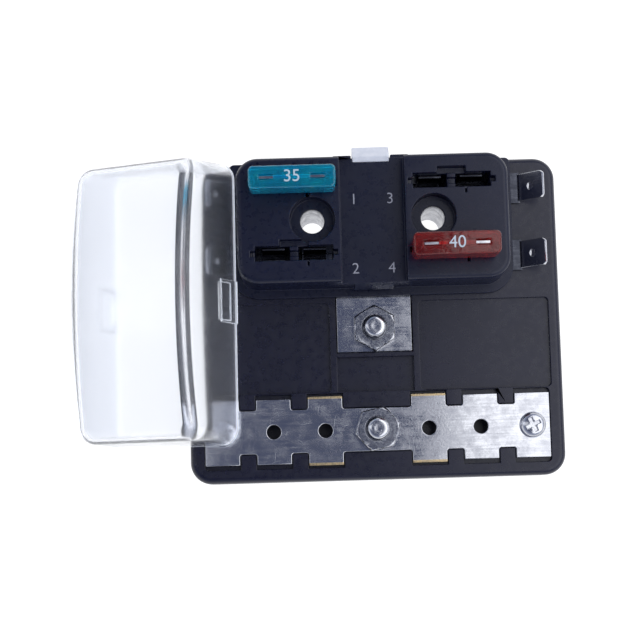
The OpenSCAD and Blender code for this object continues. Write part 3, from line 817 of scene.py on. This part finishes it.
def build_studs(steel, nut_steel):
    for pole in ("positive", "negative"):
        threaded_stud(f"{pole}_stud", f"{pole}_thread", steel)
        nut = rounded_copy(f"{pole}_nut", f"{pole}_hex_nut", NUT_EDGE, nut_steel, bore_xs=(0,))
        finish_piece(nut, f"{pole}_nut", "plated_steel", f"{pole}_nut")


def build_fuses(teal, red, tinned, white):
    for rating, number, plastic, slot_name in (("35", 1, teal, "fuse_teal"), ("40", 4, red, "fuse_red")):
        body = f"fuse_{number}"
        shell = rounded_copy(f"fuse_{rating}_body", f"fuse_{rating}_plastic", FUSE_EDGE, plastic,
                             bore_xs=FUSE_BORES)
        finish_piece(shell, body, slot_name, f"fuse_{rating}_body")
        blades = rounded_copy(f"fuse_{rating}_element", f"fuse_{rating}_metal", BLADE_EDGE, tinned)
        finish_piece(blades, body, "tinned_metal", f"fuse_{rating}_element")
        low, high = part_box(f"fuse_{rating}_body")
        place = ((low.x + high.x) / 2, (low.y + high.y) / 2, high.z)
        add_digits(f"fuse_{rating}_digits", rating, place, FUSE_DIGIT_H, body, slot_name, white)


def build_labels(print_grey):
    for number, x, y in LABELS:
        add_digits(f"label_{number}", str(number), (x * MM, y * MM, LABEL_Z * MM), LABEL_H, "housing",
                   "light_plastic", print_grey, LABEL_WEIGHT)


set_stage()

BLACK = moulded_black("base_black", (0.0035, 0.0045, 0.0195), (0.0050, 0.0060, 0.0230))
BLOCK_BLACK = moulded_black("block_black", (0.0050, 0.0075, 0.0250), (0.0065, 0.0090, 0.0290), specular=0.36)
SHEET = plain_plastic("insulating_sheet", (0.020, 0.020, 0.022), (0.028, 0.028, 0.030), 0.55)
LIGHT = plain_plastic("undyed_plastic", (0.72, 0.75, 0.82), (0.80, 0.82, 0.88), 0.40)
TINNED = tinned_metal("tinned", (0.66, 0.67, 0.70), (0.50, 0.51, 0.55))
TERMINAL = tinned_metal("terminal_tin", (0.62, 0.63, 0.67), (0.52, 0.53, 0.57), 0.14)
# A darker copy of the tin: painted shade on the input clips, on the terminals inside the block and on the
# upward faces of their strips.
PAINTED_SHADE_TIN = tinned_metal("tin_in_painted_shade", (0.085, 0.090, 0.110), (0.045, 0.048, 0.062), 0.26)
BRASS = brass_edge("cut_brass")
STEEL = plated_steel("zinc_steel", (0.68, 0.69, 0.72), (0.54, 0.55, 0.59), 0.006)
NUT_STEEL = plated_steel("nut_steel", (0.50, 0.51, 0.54), (0.37, 0.38, 0.42), 0.0012)
# A darker copy of the tin for the mounting sleeves: painted shade for the inside of the holes.
SHADED_SLEEVE_TIN = tinned_metal("sleeve_tin_painted_shade", (0.34, 0.35, 0.40), (0.26, 0.27, 0.32), 0.25)
TEAL = tinted_plastic("teal_plastic", (0.01, 0.78, 1.0), (0.005, 0.58, 0.92), 0.81)
RED = tinted_plastic("red_plastic", (0.74, 0.055, 0.045), (0.50, 0.030, 0.028), 0.86)
CLEAR = clear_plastic("clear_cover", 0.96, 0.13)
# The rim's material has a painted glow: an emission standing in for light piped along the cover's walls to
# its edge.
RIM = clear_plastic("cover_rim", 0.85, 0.35, painted_glow=0.5)
WHITE = plain_plastic("white_print", (0.62, 0.70, 0.76), (0.52, 0.62, 0.70), 0.5)
PRINT = plain_plastic("grey_print", (0.42, 0.43, 0.50), (0.36, 0.37, 0.43), 0.5)

build_housing(BLACK, BLOCK_BLACK, SHEET, LIGHT)
build_bars(TINNED, BRASS)
build_sides(STEEL, SHADED_SLEEVE_TIN)
build_contacts(TERMINAL, PAINTED_SHADE_TIN, STEEL)
build_studs(STEEL, NUT_STEEL)
build_fuses(TEAL, RED, TINNED, WHITE)
build_labels(PRINT)
build_cover(CLEAR, RIM)
